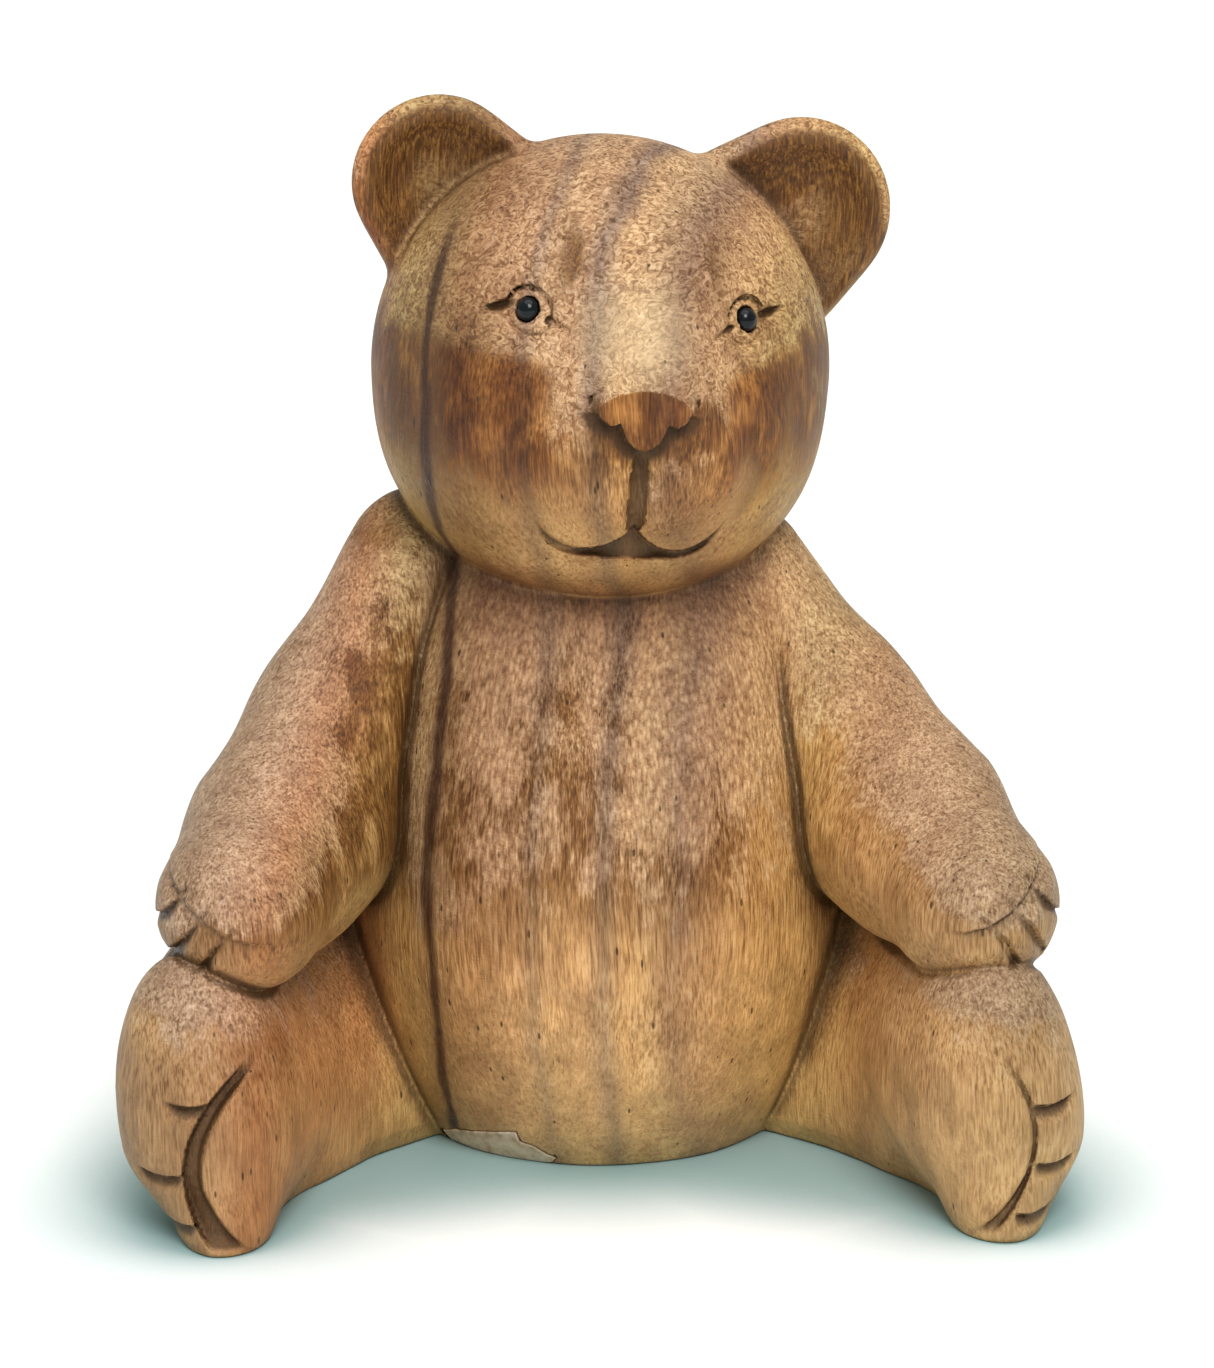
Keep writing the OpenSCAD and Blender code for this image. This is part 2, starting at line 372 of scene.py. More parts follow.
# ---- the paws and feet ----
PAW_CREASE = [(44.0, 42.2), (48.0, 42.4), (51.5, 43.4), (54.5, 45.1), (57.2, 47.4), (59.4, 50.0),
              (61.5, 53.5)]  # where the fingers start
FINGER_CUTS = ([(57.0, 48.6, 0.6), (59.6, 44.4, 1.0), (62.6, 41.0, 0.5)],
               [(54.2, 46.2, 0.6), (57.0, 42.0, 1.0), (59.8, 37.0, 0.7)],
               [(50.4, 44.0, 0.6), (53.2, 41.0, 1.0), (55.6, 36.2, 0.7)])
TOES_AT = {-1: (58.2, 11.2), 1: (58.3, 14.1)}  # how far out and how high the middle of their inner edge is
TOES_CURVE = 0.036  # of that edge, which is a parabola
TOES_LONG = 5.6  # from that edge to where a nick between two toes has mostly faded
TOE_NICKS = {-1: (21.7, 11.3, 4.4), 1: (19.2, 10.7, 4.4)}  # heights of the nicks between the toes
HOLLOW_WIDE = {-1: 3.2, 1: 1.6}  # width of the hollow beside the toes


def carve_paw(u, v):
    """A curved step where the fingers start, and three shallow cuts between them."""
    crease_v = np.interp(u, *zip(*PAW_CREASE))
    deep = ramp(u, 44.0, 50.0) * (1.0 - 0.6 * ramp(u, 57.0, 61.0))
    cut = step_cut((crease_v - v) * 0.85, 1.0, 4.0, 0.5) * deep
    for path in FINGER_CUTS:
        cut = np.maximum(cut, v_cut(u, v, path, 1.1, 1.2))
    return cut


def toe_edge(v, side):
    """How far out the inner edge of the toes is at a height."""
    out, middle_v = TOES_AT[side]
    return out - TOES_CURVE * np.square(v - middle_v)


def carve_foot(u, v, side):
    """A hollow beside the toes that widens to the ground, and nicks between the toes."""
    inward = toe_edge(v, side) - u
    wide = HOLLOW_WIDE[side] + 0.25 * np.clip(9.0 - v, 0.0, 9.0)
    across = ramp(inward, 0.0, 0.7) * ramp(wide - inward, 0.0, 1.2)
    upright = ramp(28.0 - v, 0.0, 7.0) * ramp(v, 0.0, 3.0)
    cut = 0.6 * HOLLOW_WIDE[side] * across * upright
    for nick_v in TOE_NICKS[side]:
        along = (u - toe_edge(nick_v, side)) / TOES_LONG
        dip = 0.5 * np.clip(4.0 * along * (1.0 - along), -1.0, 1.0)
        length_share = ramp(along, -0.1, 0.1) * (1.0 - ramp(along, 0.7, 1.2))
        cut = np.maximum(cut, step_cut(nick_v - dip - v, 1.4, 2.2, 0.6) * length_share)
    return cut


# ---- the whole figure ----
GROOVE_WIDTH = 1.4  # of the groove cut where two masses meet
GROOVE_DEPTH = 0.5
LEG_REACH, ARM_REACH, HEAD_REACH = 46, 52, 62  # round each one's middle, beyond which it changes nothing
FILLER = [(-23.4, 1.6), (-21.5, 3.2), (-17.5, 4.4), (-13.0, 5.6), (-12.3, 3.8), (-10.4, 3.3), (-8.6, 2.0),
          (-7.2, 1.4), (-7.8, 0.2), (-12.0, -1.0), (-21.0, -1.0)]  # outline of the patch
PATCH_DEPTH = 0.9
PATCH_FLOOR = 0.1  # left free under the patch
PATCH_PROUD = 0.05


def surface_play(p):
    """Slight unevenness that the knife and sandpaper leave."""
    x, y, z = p[..., 0], p[..., 1], p[..., 2]
    broad = np.sin(x * 0.23 + z * 0.11 + 1.0) * np.sin(y * 0.27 - z * 0.17 + 2.0)
    broad = broad * np.sin(z * 0.21 + x * 0.13)
    fine = np.sin(x * 0.61 + y * 0.35) * np.sin(z * 0.52 - y * 0.43 + 0.7)
    fine = fine * np.sin(y * 0.66 - x * 0.31 + 1.9)
    return 0.18 * broad + 0.04 * fine


def joined(d, p, shape, middle, reach, groove=0.0, blend=1.2):
    """The distances d joined to a shape that lies within reach of its middle, with a V groove between."""
    near = length(p - middle) < reach
    other = shape(p[near])
    meeting = np.maximum(1.0 - np.abs(d[near] - other) / GROOVE_WIDTH, 0.0)
    d[near] = smooth_min(d[near], other, blend) + groove * meeting
    return d


def carved_head(p, carving):
    q = in_head(p)
    d = head(q)
    face = (q[..., 1] < -8.0) & (np.abs(d) < 5.0)
    if carving:
        d[face] = carve_face(q[face], d[face])
    return d


def carved_arm(p, side, carving):
    d = arm(p, side)
    if carving:
        d = d + carve_paw(side * (p[..., 0] + LIMB_SHIFT), p[..., 2]) * ramp(-p[..., 1], 33.0, 42.0)
    return d


def carved_leg(p, side, carving):
    d = leg(p, side)
    if carving:
        d = d + carve_foot(side * (p[..., 0] + LIMB_SHIFT), p[..., 2], side) * ramp(-p[..., 1], 38.0, 44.0)
    return d


def whole(p, carving=True):
    """All the masses of the figure, with or without their fine cuts."""
    d = torso(p)
    groove = GROOVE_DEPTH if carving else 0.0
    for side in SIDES:
        leg_at = beside(side, 42, -25, 16)
        d = joined(d, p, lambda near: carved_leg(near, side, carving), leg_at, LEG_REACH, 0.5 * groove, 2.0)
        arm_at = beside(side, 38, -20, 60)
        d = joined(d, p, lambda near: carved_arm(near, side, carving), arm_at, ARM_REACH, groove)
    d = d + surface_play(p)
    d = joined(d, p, lambda near: carved_head(near, carving), HEAD_AT, HEAD_REACH)
    return smooth_max(d, -p[..., 2], 0.6)


def uncut(p):
    return whole(p, carving=False)


def bear(p):
    """The carved wood, with the recess that the filler patch sits in."""
    recess = np.maximum(outline(p[..., 0], p[..., 2], FILLER), p[..., 1])
    d = whole(p)
    return np.maximum(d, np.minimum(-recess, d + PATCH_DEPTH))


def filler_patch(p):
    """Filler inside the recess, which stands a hair proud of the wood around it."""
    d = whole(p)
    recess = np.maximum(outline(p[..., 0], p[..., 2], FILLER) + FIT_GAP, p[..., 1])
    return np.maximum(np.maximum(recess, d - PATCH_PROUD), -(d + PATCH_DEPTH - PATCH_FLOOR))


# ---- from distances to meshes ----
BLOCK = 4  # voxels along one side of the blocks that are either worked out in full or left rough
POINTS_AT_ONCE = 150000


def facing(shape, p, reach):
    """Outward direction of the surface at each point, from four samples around it."""
    corners = np.array([(1, 1, 1), (1, -1, -1), (-1, 1, -1), (-1, -1, 1)], float)
    total = sum(corner * shape(p + corner * reach)[:, None] for corner in corners)
    return total / np.maximum(length(total), 1e-9)[:, None]


def in_parts(shape, p):
    """The shape's distances, worked out a part at a time to save memory."""
    return np.concatenate([shape(part) for part in np.array_split(p, len(p) // POINTS_AT_ONCE + 1)])


def samples(shape, low_at, high_at, voxel):
    """Distances on a regular grid: exact in blocks that the surface may cross, one rough value elsewhere."""
    counts = np.ceil((high_at - low_at) / (voxel * BLOCK)).astype(int)
    block_grid = np.meshgrid(*(np.arange(count) for count in counts), indexing="ij")
    blocks = np.stack(block_grid, -1).reshape(-1, 3) * BLOCK
    rough = in_parts(shape, low_at + (blocks + (BLOCK - 1) / 2) * voxel)
    grid = rough.astype(np.float32).reshape(counts)
    for axis in range(3):
        grid = grid.repeat(BLOCK, axis)
    near = np.abs(rough) < BLOCK * voxel + 1.0
    inside_block = np.array(list(np.ndindex(BLOCK, BLOCK, BLOCK)))
    cells = (blocks[near][:, None] + inside_block).reshape(-1, 3)
    grid[tuple(cells.T)] = in_parts(shape, low_at + cells * voxel)
    return grid


def on_surface(shape, points, voxel):
    """The points moved onto the shape's surface, and none of them under the ground."""
    for _ in range(2):
        off = np.clip(in_parts(shape, points), -voxel, voxel)
        points = points - off[:, None] * facing(shape, points, 0.12)
    points[:, 2] = np.maximum(points[:, 2], 0.0)
    return points


def linked(name, data):
    """New object in the scene that shows a mesh, lamp or camera."""
    added = bpy.data.objects.new(name, data)
    bpy.context.collection.objects.link(added)
    return added


def corners_of(mesh):
    """Vertex positions as an array."""
    flat = np.empty(len(mesh.vertices) * 3)
    mesh.vertices.foreach_get("co", flat)
    return flat.reshape(-1, 3)


def thinned(piece, share):
    """Keeps about this share of the piece's triangles."""
    thin = piece.modifiers.new("thin", "DECIMATE")
    thin.ratio = share
    thin.use_collapse_triangulate = True
    evaluated = piece.evaluated_get(bpy.context.evaluated_depsgraph_get())
    piece.data = bpy.data.meshes.new_from_object(evaluated)
    piece.modifiers.clear()


def carved(name, shape, low_at, high_at, voxel):
    """Mesh piece of a shape's surface inside a box, all in figure units until the vertices are in place."""
    low_at = np.array(low_at, float)
    grid = openvdb.FloatGrid(9.0)
    grid.copyFromArray(samples(shape, low_at, np.array(high_at, float), voxel))
    points, _, quads = grid.convertToPolygons(isovalue=0.0, adaptivity=0.0)
    points = low_at + np.asarray(points, float) * voxel
    a, b, c, _ = (points[quads[:, i]] for i in range(4))
    if (a * np.cross(b, c)).sum() < 0:
        quads = quads[:, ::-1]
    mesh = bpy.data.meshes.new(name)
    mesh.from_pydata(points.tolist(), [], quads.tolist())
    piece = linked(name, mesh)
    if 2 * len(quads) > MOST_TRIANGLES[name]:
        thinned(piece, MOST_TRIANGLES[name] / (2 * len(quads)))
    points = on_surface(shape, corners_of(piece.data), voxel)
    piece.data.vertices.foreach_set("co", to_row(points).ravel())
    piece.data.shade_smooth()
    piece.data.normals_split_custom_set_from_vertices(facing(shape, points, 0.15).tolist())
    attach(piece, "root")
    return piece


# ---- marks: what the wood's finish reads about the shape at each vertex ----
# The crease, cut and under-chin marks are masks for painted shade.
MARKS = ("facing_up", "crease_shade", "cut", "ear_cup", "stain", "shade_under_chin")


def closed_in(at, outward, reach):
    """0 where nothing stands within reach in front of the surface, up to 1 in a tight corner."""
    return np.clip(1.0 - in_parts(bear, at + outward * reach) / reach, 0.0, 1.0)


def shade_in_cuts(at, tight):
    """Painted shade in each cut: dark in the tight ones everywhere, and in the mouth and the toes' hollows
    all over.
    """
    x, y, z = at.T
    mouth = 0.5 * ramp(z, 86, 90) * (np.abs(x - 4) < 9)
    toes = 0.35 * ramp(30 - z, 0, 4) * (y < -44)
    always = 0.3 + np.maximum(mouth, toes)
    return ramp(-uncut(at), 0.1, 0.9) * (always + (1.0 - always) * tight)


def brown_face(q):
    """1 on the nose and on the sides of the muzzle."""
    u, depth, v = q.T
    on_nose = ramp(-outline(u, v, NOSE), -0.1, 0.3) * (depth < NOSE_BACK)
    beside_muzzle = ramp(np.abs(u), 8.0, 15.0) * ramp(v, -17.0, -8.0) * ramp(10.0 - v, 0.0, 7.0)
    return np.maximum(on_nose, beside_muzzle * (depth < -5.0))


def mark(piece):
    """Stores the marks on the mesh."""
    at = to_figure(corners_of(piece.data))
    x, _, z = at.T
    q = in_head(at)
    outward = facing(bear, at, 0.3)
    tight, close, wide = (closed_in(at, outward, reach) for reach in (1.2, 4.0, 12.0))
    values = {
        "facing_up": facing(uncut, at, 0.5)[:, 2],
        # painted shade where nearby wood closes the surface in
        "crease_shade": 0.45 * tight + 0.4 * close + 0.15 * wide,
        # painted shade in the cuts
        "cut": shade_in_cuts(at, tight),
        "ear_cup": np.maximum(*(ear_cup_share(q, side) for side in SIDES)),
        "stain": brown_face(q),
        # painted shadow on the chest under the head
        "shade_under_chin": wide * (z < 92) * ramp(z, 62, 82) * ramp(30 - np.abs(x), 4, 14),
    }
    for name in MARKS:
        layer = piece.data.attributes.new(name, "FLOAT", "POINT")
        layer.data.foreach_set("value", values[name].astype(np.float32))


# ---- the eyes ----
BEAD_PROFILE = [(0.0, 1.0), (0.35, 0.95), (0.62, 0.8), (0.83, 0.56), (0.95, 0.3), (1.0, 0.0), (0.86, -0.5),
                (0.45, -0.86), (0.0, -1.0)]  # across and along the bead's axis, in radii
BEAD_SIDES = 40


def bead(name, side):
    """Domed bead of an eye, turned on its own axis and set into its socket."""
    middle = eye_middle(side)
    turn = Vector(middle / length(middle)).to_track_quat("Z", "X")
    shell = bmesh.new()
    rings = []
    for across, along in BEAD_PROFILE:
        count = 1 if across == 0.0 else BEAD_SIDES
        ring = []
        for i in range(count):
            angle = 2 * math.pi * i / count
            local = turn @ (Vector((across * math.cos(angle), across * math.sin(angle), along)) * EYE_R)
            ring.append(shell.verts.new(to_row(HEAD_AT + HEAD_FRAME @ (middle + np.array(local)))))
        rings.append(ring)
    for upper, lower in zip(rings, rings[1:]):
        for i in range(BEAD_SIDES):
            j = (i + 1) % BEAD_SIDES
            corners = [upper[i % len(upper)], lower[i % len(lower)],
                       lower[j % len(lower)], upper[j % len(upper)]]
            shell.faces.new(list(dict.fromkeys(corners)))
    bmesh.ops.recalc_face_normals(shell, faces=shell.faces)
    mesh = bpy.data.meshes.new(name)
    shell.to_mesh(mesh)
    shell.free()
    mesh.shade_smooth()
    piece = linked(name, mesh)
    smooth = piece.modifiers.new("smooth", "SUBSURF")
    smooth.levels = smooth.render_levels = 1
    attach(piece, "root")
    return piece


# ---- finishes ----
def srgb(*levels):
    """A colour given as it looks on screen, 0 to 255, as the shader's own linear colour."""
    linear = [(v / 255 / 12.92) if v <= 10 else ((v / 255 + 0.055) / 1.055) ** 2.4 for v in levels]
    return (*linear, 1.0)


class Finish:
    """A node material, built up by calls that each add one node and give back its output."""

    def __init__(self, name):
        self.material = bpy.data.materials.new(name)
        self.material.use_nodes = True
        self.tree = self.material.node_tree
        self.shader = self.tree.nodes["Principled BSDF"]
        object_at = self.add("ShaderNodeTexCoord", {}, "Object")
        to_units = {"Vector": object_at, "Location": tuple(-AXIS_AT / UNIT), "Scale": (1 / UNIT,) * 3}
        self.at = self.add("ShaderNodeMapping", to_units)

    def add(self, kind, inputs, output=0, **settings):
        node = self.tree.nodes.new(kind)
        for name, value in settings.items():
            setattr(node, name, value)
        for key, value in inputs.items():
            if isinstance(value, bpy.types.NodeSocket):
                self.tree.links.new(value, node.inputs[key])
            else:
                node.inputs[key].default_value = value
        return node.outputs[output]

    def drive(self, name, value):
        """Links a value to one of the shader's inputs."""
        self.tree.links.new(value, self.shader.inputs[name])

    def bump(self, height, strength, distance):
        inputs = {"Height": height, "Strength": strength, "Distance": distance * UNIT}
        self.drive("Normal", self.add("ShaderNodeBump", inputs, "Normal"))

    def math(self, operation, a, b=0.0, c=0.0):
        return self.add("ShaderNodeMath", {0: a, 1: b, 2: c}, operation=operation)

    def product(self, first, *others):
        for other in others:
            first = self.math("MULTIPLY", first, other)
        return first

    def swayed(self, value, noise, amount):
        """The value moved by a noise, up to half the amount either way."""
        return self.math("MULTIPLY_ADD", self.math("SUBTRACT", noise, 0.5), amount, value)

    def noise(self, at, scale, detail=3.0, roughness=0.55, distortion=0.0, output="Fac"):
        inputs = {"Vector": at, "Scale": scale, "Detail": detail}
        inputs.update({"Roughness": roughness, "Distortion": distortion})
        return self.add("ShaderNodeTexNoise", inputs, output)

    def cells(self, at, scale):
        """Distance to the nearest of many scattered points."""
        return self.add("ShaderNodeTexVoronoi", {"Vector": at, "Scale": scale}, "Distance")

    def step(self, value, start, end, low=0.0, high=1.0):
        """Smooth change from low to high while value goes from start to end."""
        inputs = {"Value": value, "From Min": start, "From Max": end, "To Min": low, "To Max": high}
        return self.add("ShaderNodeMapRange", inputs, interpolation_type="SMOOTHSTEP")

    def mix(self, share, a, b, blend="MIX"):
        return self.add("ShaderNodeMix", {0: share, 6: a, 7: b}, 2, data_type="RGBA", blend_type=blend)

    def tinted(self, share, colour, tint):
        """The colour multiplied by a tint, by that share."""
        return self.mix(share, colour, tint, "MULTIPLY")

    def bands(self, value, stops):
        """Colour along a value, from (value, screen levels) stops."""
        low, high = stops[0][0], stops[-1][0]
        share = self.add("ShaderNodeMapRange", {"Value": value, "From Min": low, "From Max": high})
        output = self.add("ShaderNodeValToRGB", {"Fac": share})
        points = output.node.color_ramp.elements
        while len(points) < len(stops):
            points.new(0.5)
        for point, (at, levels) in zip(points, stops):
            point.position = (at - low) / (high - low)
            point.color = srgb(*levels)
        return output


# colour along each pattern's value: (value, screen levels)
DARK_UPRIGHT = [(0.36, (96, 60, 26)), (0.46, (132, 92, 48)), (0.54, (162, 118, 68)), (0.65, (198, 156, 102))]
LIGHT_UPRIGHT = [(0.36, (160, 118, 76)), (0.46, (210, 168, 118)), (0.54, (240, 198, 148)),
                 (0.65, (252, 220, 180))]
# pale colours of faces that look up, partly painted light from above
FACING_UP = [(0.34, (126, 94, 70)), (0.44, (182, 149, 120)), (0.54, (224, 194, 166)), (0.66, (255, 234, 212))]
BELLY_FLECKS = [(0.04, (248, 222, 190)), (0.3, (222, 188, 154)), (0.52, (190, 150, 116)),
                (0.8, (150, 110, 80))]
FACING_DOWN = [(0.26, (146, 108, 62)), (0.5, (216, 180, 130)), (0.74, (244, 214, 168))]
# ear cups: the wood's stain, darkened further by painted shade
EAR_CUPS = [(0.36, (60, 32, 6)), (0.5, (98, 58, 16)), (0.64, (150, 102, 46))]
RING_TINTS = [  # growth rings from the bear's right to its left
    (-66.0, (214, 206, 190)), (-50.0, (222, 206, 192)), (-45.0, (246, 224, 210)), (-39.0, (236, 180, 128)),
    (-32.0, (228, 212, 156)), (-26.0, (206, 190, 142)), (-19.0, (200, 164, 126)), (-10.5, (236, 210, 184)),
    (-8.4, (190, 172, 164)), (-6.0, (250, 230, 204)), (-1.0, (244, 220, 194)), (2.0, (170, 156, 158)),
    (5.0, (255, 234, 200)), (9.0, (236, 220, 194)), (12.5, (176, 150, 138)), (16.0, (226, 198, 166)),
    (20.0, (255, 230, 184)), (27.0, (250, 236, 180)), (36.0, (236, 200, 148)), (46.0, (244, 220, 192)),
    (66.0, (206, 198, 172))]
RING_SLANT = -0.33  # how much the place among the rings changes for each unit towards the back
RING_SHIFT = -9.0  # place among the rings at the body's axis
RING_WAVER = 6.0  # the blotches move the rings up to half of this either way
VEIN_AT = -24.6  # place of the dark vein among the rings
BRIDGE_HIGHLIGHT_AT = HEAD_AT + HEAD_FRAME @ np.array([-1.0, -32.0, 10.0])  # painted highlight between the nose and the eyes


class Wood(Finish):
    """The carved wood: its patterns and places, which several layers of colour share, then the layers."""

    def __init__(self):
        super().__init__("carved_wood")
        position = self.add("ShaderNodeSeparateXYZ", {"Vector": self.at}).node
        self.x, self.y, self.z = (position.outputs[i] for i in range(3))
        self.aside = self.math("ABSOLUTE", self.x)
        self.marks = {name: self.add("ShaderNodeAttribute", {}, "Fac", attribute_name=name) for name in MARKS}
        self.grain_at = self.wandering()
        self.fibres = self.noise(self.stretched(1.0, 0.04), 1.9, 5.0, 0.7)
        self.threads = self.noise(self.stretched(1.0, 0.09), 3.4, 2.0, 0.5)
        self.grain = self.math("MULTIPLY_ADD", self.threads, 0.5, self.product(self.fibres, 0.5))
        self.ripples = self.noise(self.stretched(1.0, 1.2), 0.95, 2.5, 0.55, 1.6)
        self.blotches = self.noise(self.stretched(1.0, 0.4), 0.08, 3.0, 0.5)
        self.clouds = self.noise(self.stretched(1.0, 0.6), 0.22, 4.0, 0.6)
        self.speckle = self.noise(self.stretched(1.0, 0.5), 1.8, 4.0, 0.65)
        self.below_head = self.step(self.z, 92.0, 84.0)
        off_middle = self.math("ABSOLUTE", self.math("ADD", self.x, -2.0))
        cheek_height = self.product(self.step(self.z, 134.0, 118.0), self.step(self.z, 84.0, 90.0))
        self.on_cheeks = self.product(self.step(off_middle, 12.0, 22.0), cheek_height)
        ring = self.math("ADD", self.math("MULTIPLY_ADD", self.y, RING_SLANT, self.x), RING_SHIFT)
        self.ring = self.swayed(ring, self.blotches, RING_WAVER)

    def wandering(self):
        """Position in figure units, shifted so that the grain wanders a little as it climbs."""
        slow = self.add("ShaderNodeVectorMath", {0: self.at, 1: (0.03, 0.03, 0.012)}, operation="MULTIPLY")
        drift = self.noise(slow, 1.0, 2.0, output="Color")
        drift = self.add("ShaderNodeVectorMath", {0: drift, 1: (0.5, 0.5, 0.5)}, operation="SUBTRACT")
        moved = {0: drift, 1: (9.0, 9.0, 4.0), 2: self.at}
        return self.add("ShaderNodeVectorMath", moved, operation="MULTIPLY_ADD")

    def stretched(self, across, upright):
        """The grain's position times one factor across the grain and another along it."""
        scaled = {0: self.grain_at, 1: (across, across, upright)}
        return self.add("ShaderNodeVectorMath", scaled, operation="MULTIPLY")

    def tilt(self):
        """How much the surface faces up, made ragged; cheeks, inner arms and legs count as more upright."""
        tilt = self.swayed(self.marks["facing_up"], self.grain, 0.6)
        tilt = self.swayed(tilt, self.clouds, 0.9)
        tilt = self.swayed(tilt, self.blotches, 1.0)
        tilt = self.math("MULTIPLY_ADD", self.on_cheeks, -0.36, tilt)
        tilt = self.math("ADD", self.step(self.z, 112.0, 120.0, 0.0, 0.3), tilt)
        inner_arm = self.product(self.step(self.aside, 47.0, 38.0), self.step(self.z, 82.0, 66.0))
        inner_arm = self.product(inner_arm, self.step(self.aside, 26.0, 33.0))
        on_legs = self.step(self.z, 38.0, 28.0, 0.0, 0.8)
        return self.math("MULTIPLY_ADD", self.math("MAXIMUM", inner_arm, on_legs), -0.4, tilt)

    def upright_colour(self):
        """Brown streaks, lighter low down, on the chin, on the bear's left and in some clouds."""
        dark = self.bands(self.grain, DARK_UPRIGHT)
        light = self.bands(self.grain, LIGHT_UPRIGHT)
        low_body = self.step(self.z, 50.0, 30.0)
        on_chin = self.product(self.step(self.z, 107.0, 99.0, 0.0, 0.5), self.step(self.z, 84.0, 89.0))
        in_clouds = self.step(self.clouds, 0.45, 0.75, 0.0, 0.7)
        on_left = self.product(self.below_head, self.step(self.x, 14.0, 24.0, 0.0, 0.75))
        lightness = low_body
        for share in (on_chin, in_clouds, on_left):
            lightness = self.math("MAXIMUM", lightness, share)
        colour = self.mix(lightness, dark, light)
        return self.tinted(self.product(self.marks["stain"], 0.8), colour, srgb(216, 184, 138))

    def up_colour(self):
        """Pale mottling: ripples on the head, shorter grain flecks below it, and oval flecks on the belly."""
        toward_grain = self.math("SUBTRACT", self.grain, self.ripples)
        mottling = self.math("MULTIPLY_ADD", toward_grain, self.product(self.below_head, 0.65), self.ripples)
        sharper = self.product(self.below_head, self.math("SUBTRACT", mottling, 0.5))
        mottling = self.math("MULTIPLY_ADD", sharper, 0.5, mottling)
        flecks = self.swayed(self.cells(self.stretched(1.0, 0.3), 1.6), self.clouds, 0.5)
        on_belly = self.product(self.step(self.aside, 30.0, 22.0), self.step(self.z, 92.0, 78.0))
        share = self.step(on_belly, 0.0, 1.0, 0.25, 0.6)
        return self.mix(share, self.bands(mottling, FACING_UP), self.bands(flecks, BELLY_FLECKS))

    def base_colour(self):
        """Faces that look up are pale and mottled, partly the grain's look and partly painted light from
        above; upright ones brown and streaked, low ones yellowish.
        """
        tilt = self.tilt()
        up = self.product(self.step(tilt, 0.0, 0.26), self.step(self.marks["stain"], 0.9, 0.3))
        down = self.step(tilt, -0.3, -0.75)
        colour = self.mix(up, self.upright_colour(), self.up_colour())
        return self.mix(down, colour, self.bands(self.speckle, FACING_DOWN))

    def rings(self, colour):
        """Broad clouds of stain, then growth rings that cross the block in bands."""
        stain = self.step(self.clouds, 0.3, 0.7)
        colour = self.tinted(0.5, colour, self.mix(stain, srgb(176, 150, 122), srgb(255, 250, 236)))
        share = self.step(self.z, 84.0, 104.0, 0.7, 0.85)
        return self.tinted(share, colour, self.bands(self.ring, RING_TINTS))

    def places(self, colour):
        """Tints of single places: painted shade on the chest, a painted highlight on the bridge of the nose,
        arms, and painted shadow on the throat.
        """
        # painted shade on the chest below the head
        chest_height = self.product(self.step(self.z, 62.0, 84.0), self.step(self.z, 90.0, 86.0))
        chest = self.product(chest_height, self.step(self.aside, 26.0, 14.0))
        colour = self.tinted(chest, colour, srgb(222, 214, 206))
        ends = {0: self.at, 1: tuple(BRIDGE_HIGHLIGHT_AT)}
        from_bridge = self.add("ShaderNodeVectorMath", ends, "Value", operation="DISTANCE")
        unstained = self.step(self.marks["stain"], 0.5, 0.0)
        # painted highlight on the bridge of the nose
        bridge = self.product(self.step(from_bridge, 11.0, 2.0, 0.0, 0.3), unstained)
        colour = self.mix(bridge, colour, srgb(244, 214, 168))
        on_arms = self.product(self.step(self.aside, 24.0, 36.0), self.below_head)
        colour = self.tinted(on_arms, colour, srgb(238, 238, 240))
        # painted shadow under the chin
        return self.tinted(self.product(self.marks["shade_under_chin"], 0.9), colour, srgb(176, 140, 112))

    def cheeks_and_feet(self, colour):
        """Darker cheeks, a foot of the block made paler by painted light, and painted shade on the sole on
        the bear's right.
        """
        colour = self.tinted(self.on_cheeks, colour, srgb(222, 222, 208))
        # painted light: paler towards the ground, against the shade near the floor
        colour = self.mix(self.step(self.z, 26.0, 8.0, 0.0, 0.3), colour, srgb(244, 208, 158))
        # painted shade on the sole of the bear's right foot
        right_sole_shade = self.product(self.step(self.x, -41.0, -46.0), self.step(self.y, -42.0, -47.0))
        right_sole_shade = self.product(right_sole_shade, self.step(self.z, 32.0, 26.0))
        return self.tinted(right_sole_shade, colour, srgb(220, 214, 208))

    def vein(self, colour):
        """One dark vein runs down the bear's right side, in a browner band."""
        off = self.math("ABSOLUTE", self.math("ADD", self.ring, -VEIN_AT))
        vein = self.product(self.step(off, 1.5, 0.3), self.step(self.z, 138.0, 128.0))
        vein = self.product(vein, self.step(self.fibres, 0.3, 0.7, 1.0, 0.8), 0.95)
        colour = self.mix(self.product(self.step(off, 5.0, 1.0), 0.35), colour, srgb(120, 84, 52))
        return self.mix(vein, colour, srgb(54, 27, 13))

    def stain_and_shade_in_hollows(self, colour):
        """Ear cups darkened by stain and painted shade, and painted shade in the creases and cuts."""
        # stain and painted shade in the ear cups, stronger higher up
        cup = self.product(self.marks["ear_cup"], self.step(self.z, 114.0, 132.0, 0.55, 0.95))
        colour = self.mix(cup, colour, self.bands(self.grain, EAR_CUPS))
        # painted shade in the creases
        crease_shade = self.step(self.swayed(self.marks["crease_shade"], self.speckle, 0.5), 0.28, 0.75)
        colour = self.mix(self.product(crease_shade, 0.75), colour, srgb(72, 46, 22))
        # painted shade in the cuts
        cut = self.step(self.swayed(self.marks["cut"], self.speckle, 0.5), 0.1, 0.75)
        return self.mix(self.product(cut, 0.8), colour, srgb(64, 40, 18))


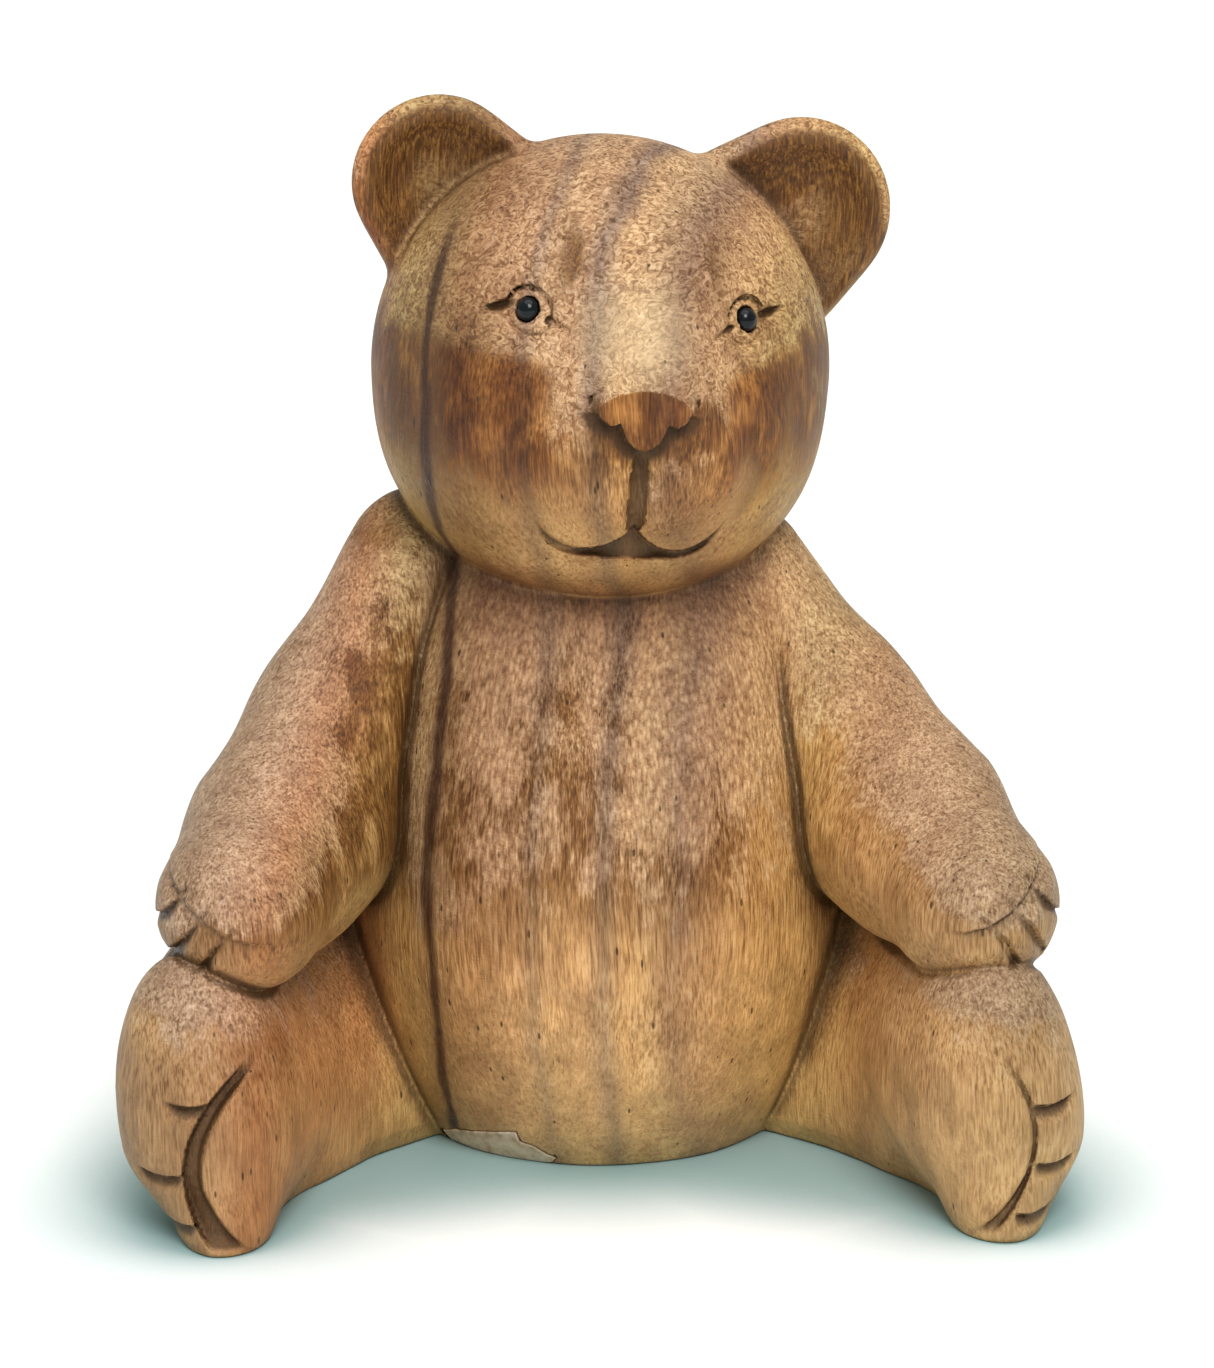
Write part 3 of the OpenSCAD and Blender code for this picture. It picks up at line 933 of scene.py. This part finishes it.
def wood_finish():
    wood = Wood()
    colour = wood.cheeks_and_feet(wood.base_colour())
    colour = wood.places(wood.rings(colour))
    colour = wood.vein(colour)
    pores = wood.step(wood.cells(wood.stretched(1.0, 0.3), 0.42), 0.1, 0.05)
    colour = wood.mix(wood.product(pores, 0.8), colour, srgb(52, 32, 18))
    dashes = wood.step(wood.cells(wood.stretched(1.0, 0.12), 1.2), 0.18, 0.08)
    colour = wood.mix(wood.product(dashes, 0.4), colour, srgb(84, 54, 28))
    wood.drive("Base Color", wood.stain_and_shade_in_hollows(colour))
    wood.drive("Roughness", wood.step(wood.threads, 0.3, 0.7, 0.38, 0.6))
    wood.shader.inputs["Specular IOR Level"].default_value = 0.3
    height = wood.math("MULTIPLY_ADD", wood.threads, 0.5, wood.product(wood.fibres, 0.8))
    height = wood.math("MULTIPLY_ADD", wood.ripples, 0.6, height)
    height = wood.math("MULTIPLY_ADD", pores, -0.7, height)
    wood.bump(height, 0.8, 0.3)
    return wood.material


def eye_finish():
    eye = Finish("eye_black")
    cloud = eye.noise(eye.at, 1.2, 2.0)
    eye.drive("Base Color", eye.bands(cloud, [(0.3, (2, 4, 6)), (0.7, (12, 18, 24))]))
    eye.drive("Roughness", eye.step(eye.noise(eye.at, 3.0), 0.3, 0.7, 0.08, 0.2))
    eye.shader.inputs["Specular IOR Level"].default_value = 0.3
    eye.bump(cloud, 0.15, 0.1)
    return eye.material


def filler_finish():
    putty = Finish("filler")
    cloud = putty.noise(putty.at, 0.5, 4.0)
    grit = putty.noise(putty.at, 3.0, 2.0)
    tones = [(0.3, (162, 132, 100)), (0.5, (208, 180, 150)), (0.7, (226, 204, 180))]
    putty.drive("Base Color", putty.bands(cloud, tones))
    putty.drive("Roughness", putty.step(grit, 0.3, 0.7, 0.6, 0.8))
    putty.bump(grit, 0.4, 0.15)
    return putty.material


SHADOW_REACH = 30.0  # figure units from an object to where the floor is white again


def floor_finish():
    """White paper that greys towards blue-green in a painted shadow round whatever stands on it."""
    paper = Finish("floor")
    cloud = paper.noise(paper.at, 0.01, 2.0)
    white = paper.bands(cloud, [(0.3, (246, 248, 248)), (0.7, (252, 253, 253))])
    openness = paper.add("ShaderNodeAmbientOcclusion", {"Distance": SHADOW_REACH * UNIT}, "AO", samples=16)
    paper.drive("Base Color", paper.mix(paper.step(openness, 0.45, 1.0), srgb(150, 178, 178), white))
    paper.shader.inputs["Roughness"].default_value = 0.9
    return paper.material


def give(piece, material):
    piece.data.materials.clear()
    piece.data.materials.append(material)


# ---- the pieces ----
BEAR_BOX = (-68, -61, -2), (67, 40, 153.5)
PATCH_BOX = (-25, -32, -1.5), (-5, -12, 7.5)

bear_piece = carved("bear", bear, *BEAR_BOX, DETAIL)
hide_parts("carved_bear")
mark(bear_piece)
give(bear_piece, wood_finish())

eye_black = eye_finish()
for node, name, side in (("left_eye", "eye_left", 1), ("right_eye", "eye_right", -1)):
    piece = bead(name, side)
    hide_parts(node)
    give(piece, eye_black)

patch = carved("patch", filler_patch, *PATCH_BOX, PATCH_DETAIL)
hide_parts("base_filler")
give(patch, filler_finish())

# ---- floor and light ----
FLOOR_HEIGHTS = 40  # half the floor's width, in heights of the bear
half = FLOOR_HEIGHTS * (high[2] - low[2])
floor_mesh = bpy.data.meshes.new("floor")
floor_corners = [(-half, -half, 0), (half, -half, 0), (half, half, 0), (-half, half, 0)]
floor_mesh.from_pydata(floor_corners, [], [(0, 1, 2, 3)])
floor = linked("floor", floor_mesh)
floor.location.z = low[2]
give(floor, floor_finish())

world = bpy.data.worlds.new("studio")
world.use_nodes = True
background = world.node_tree.nodes["Background"]
background.inputs["Color"].default_value = (0.86, 1.0, 0.98, 1.0)
background.inputs["Strength"].default_value = 0.45
bpy.context.scene.world = world
bpy.context.scene.view_settings.view_transform = "Standard"


def soft_light(name, azimuth, elevation, strength, spread, colour):
    """Distant lamp as wide as a softbox, from a direction given like the views' angles."""
    lamp = bpy.data.lights.new(name, "SUN")
    lamp.energy = strength
    lamp.angle = math.radians(spread)
    lamp.color = colour
    light = linked(name, lamp)
    light.rotation_euler = (math.radians(90 - elevation), 0.0, math.radians(azimuth))


soft_light("key", 8, 48, 2.0, 30, (1.0, 0.99, 0.97))
soft_light("ceiling", 0, 85, 1.2, 60, (1.0, 0.98, 0.97))

# ---- camera: it looks a little from the bear's right and above ----
VIEW_AZIMUTH, VIEW_ELEVATION = math.radians(-3.0), math.radians(15.0)
VIEW_FROM = 700.0  # figure units from the camera to the point it looks at
VIEW_AT = np.array([0.0, -24.0, 70.0])
FRAME_ACROSS = 168.6  # width of the view at that point
level = math.cos(VIEW_ELEVATION)
back = np.array([math.sin(VIEW_AZIMUTH) * level, -math.cos(VIEW_AZIMUTH) * level, math.sin(VIEW_ELEVATION)])
lens = bpy.data.cameras.new("camera")
lens.sensor_fit = "HORIZONTAL"
lens.sensor_width = 36.0
lens.lens = lens.sensor_width * VIEW_FROM / FRAME_ACROSS
camera = linked("camera", lens)
camera.location = to_row(VIEW_AT + back * VIEW_FROM)
camera.rotation_euler = Vector(-back).to_track_quat("-Z", "Y").to_euler()
bpy.context.scene.camera = camera
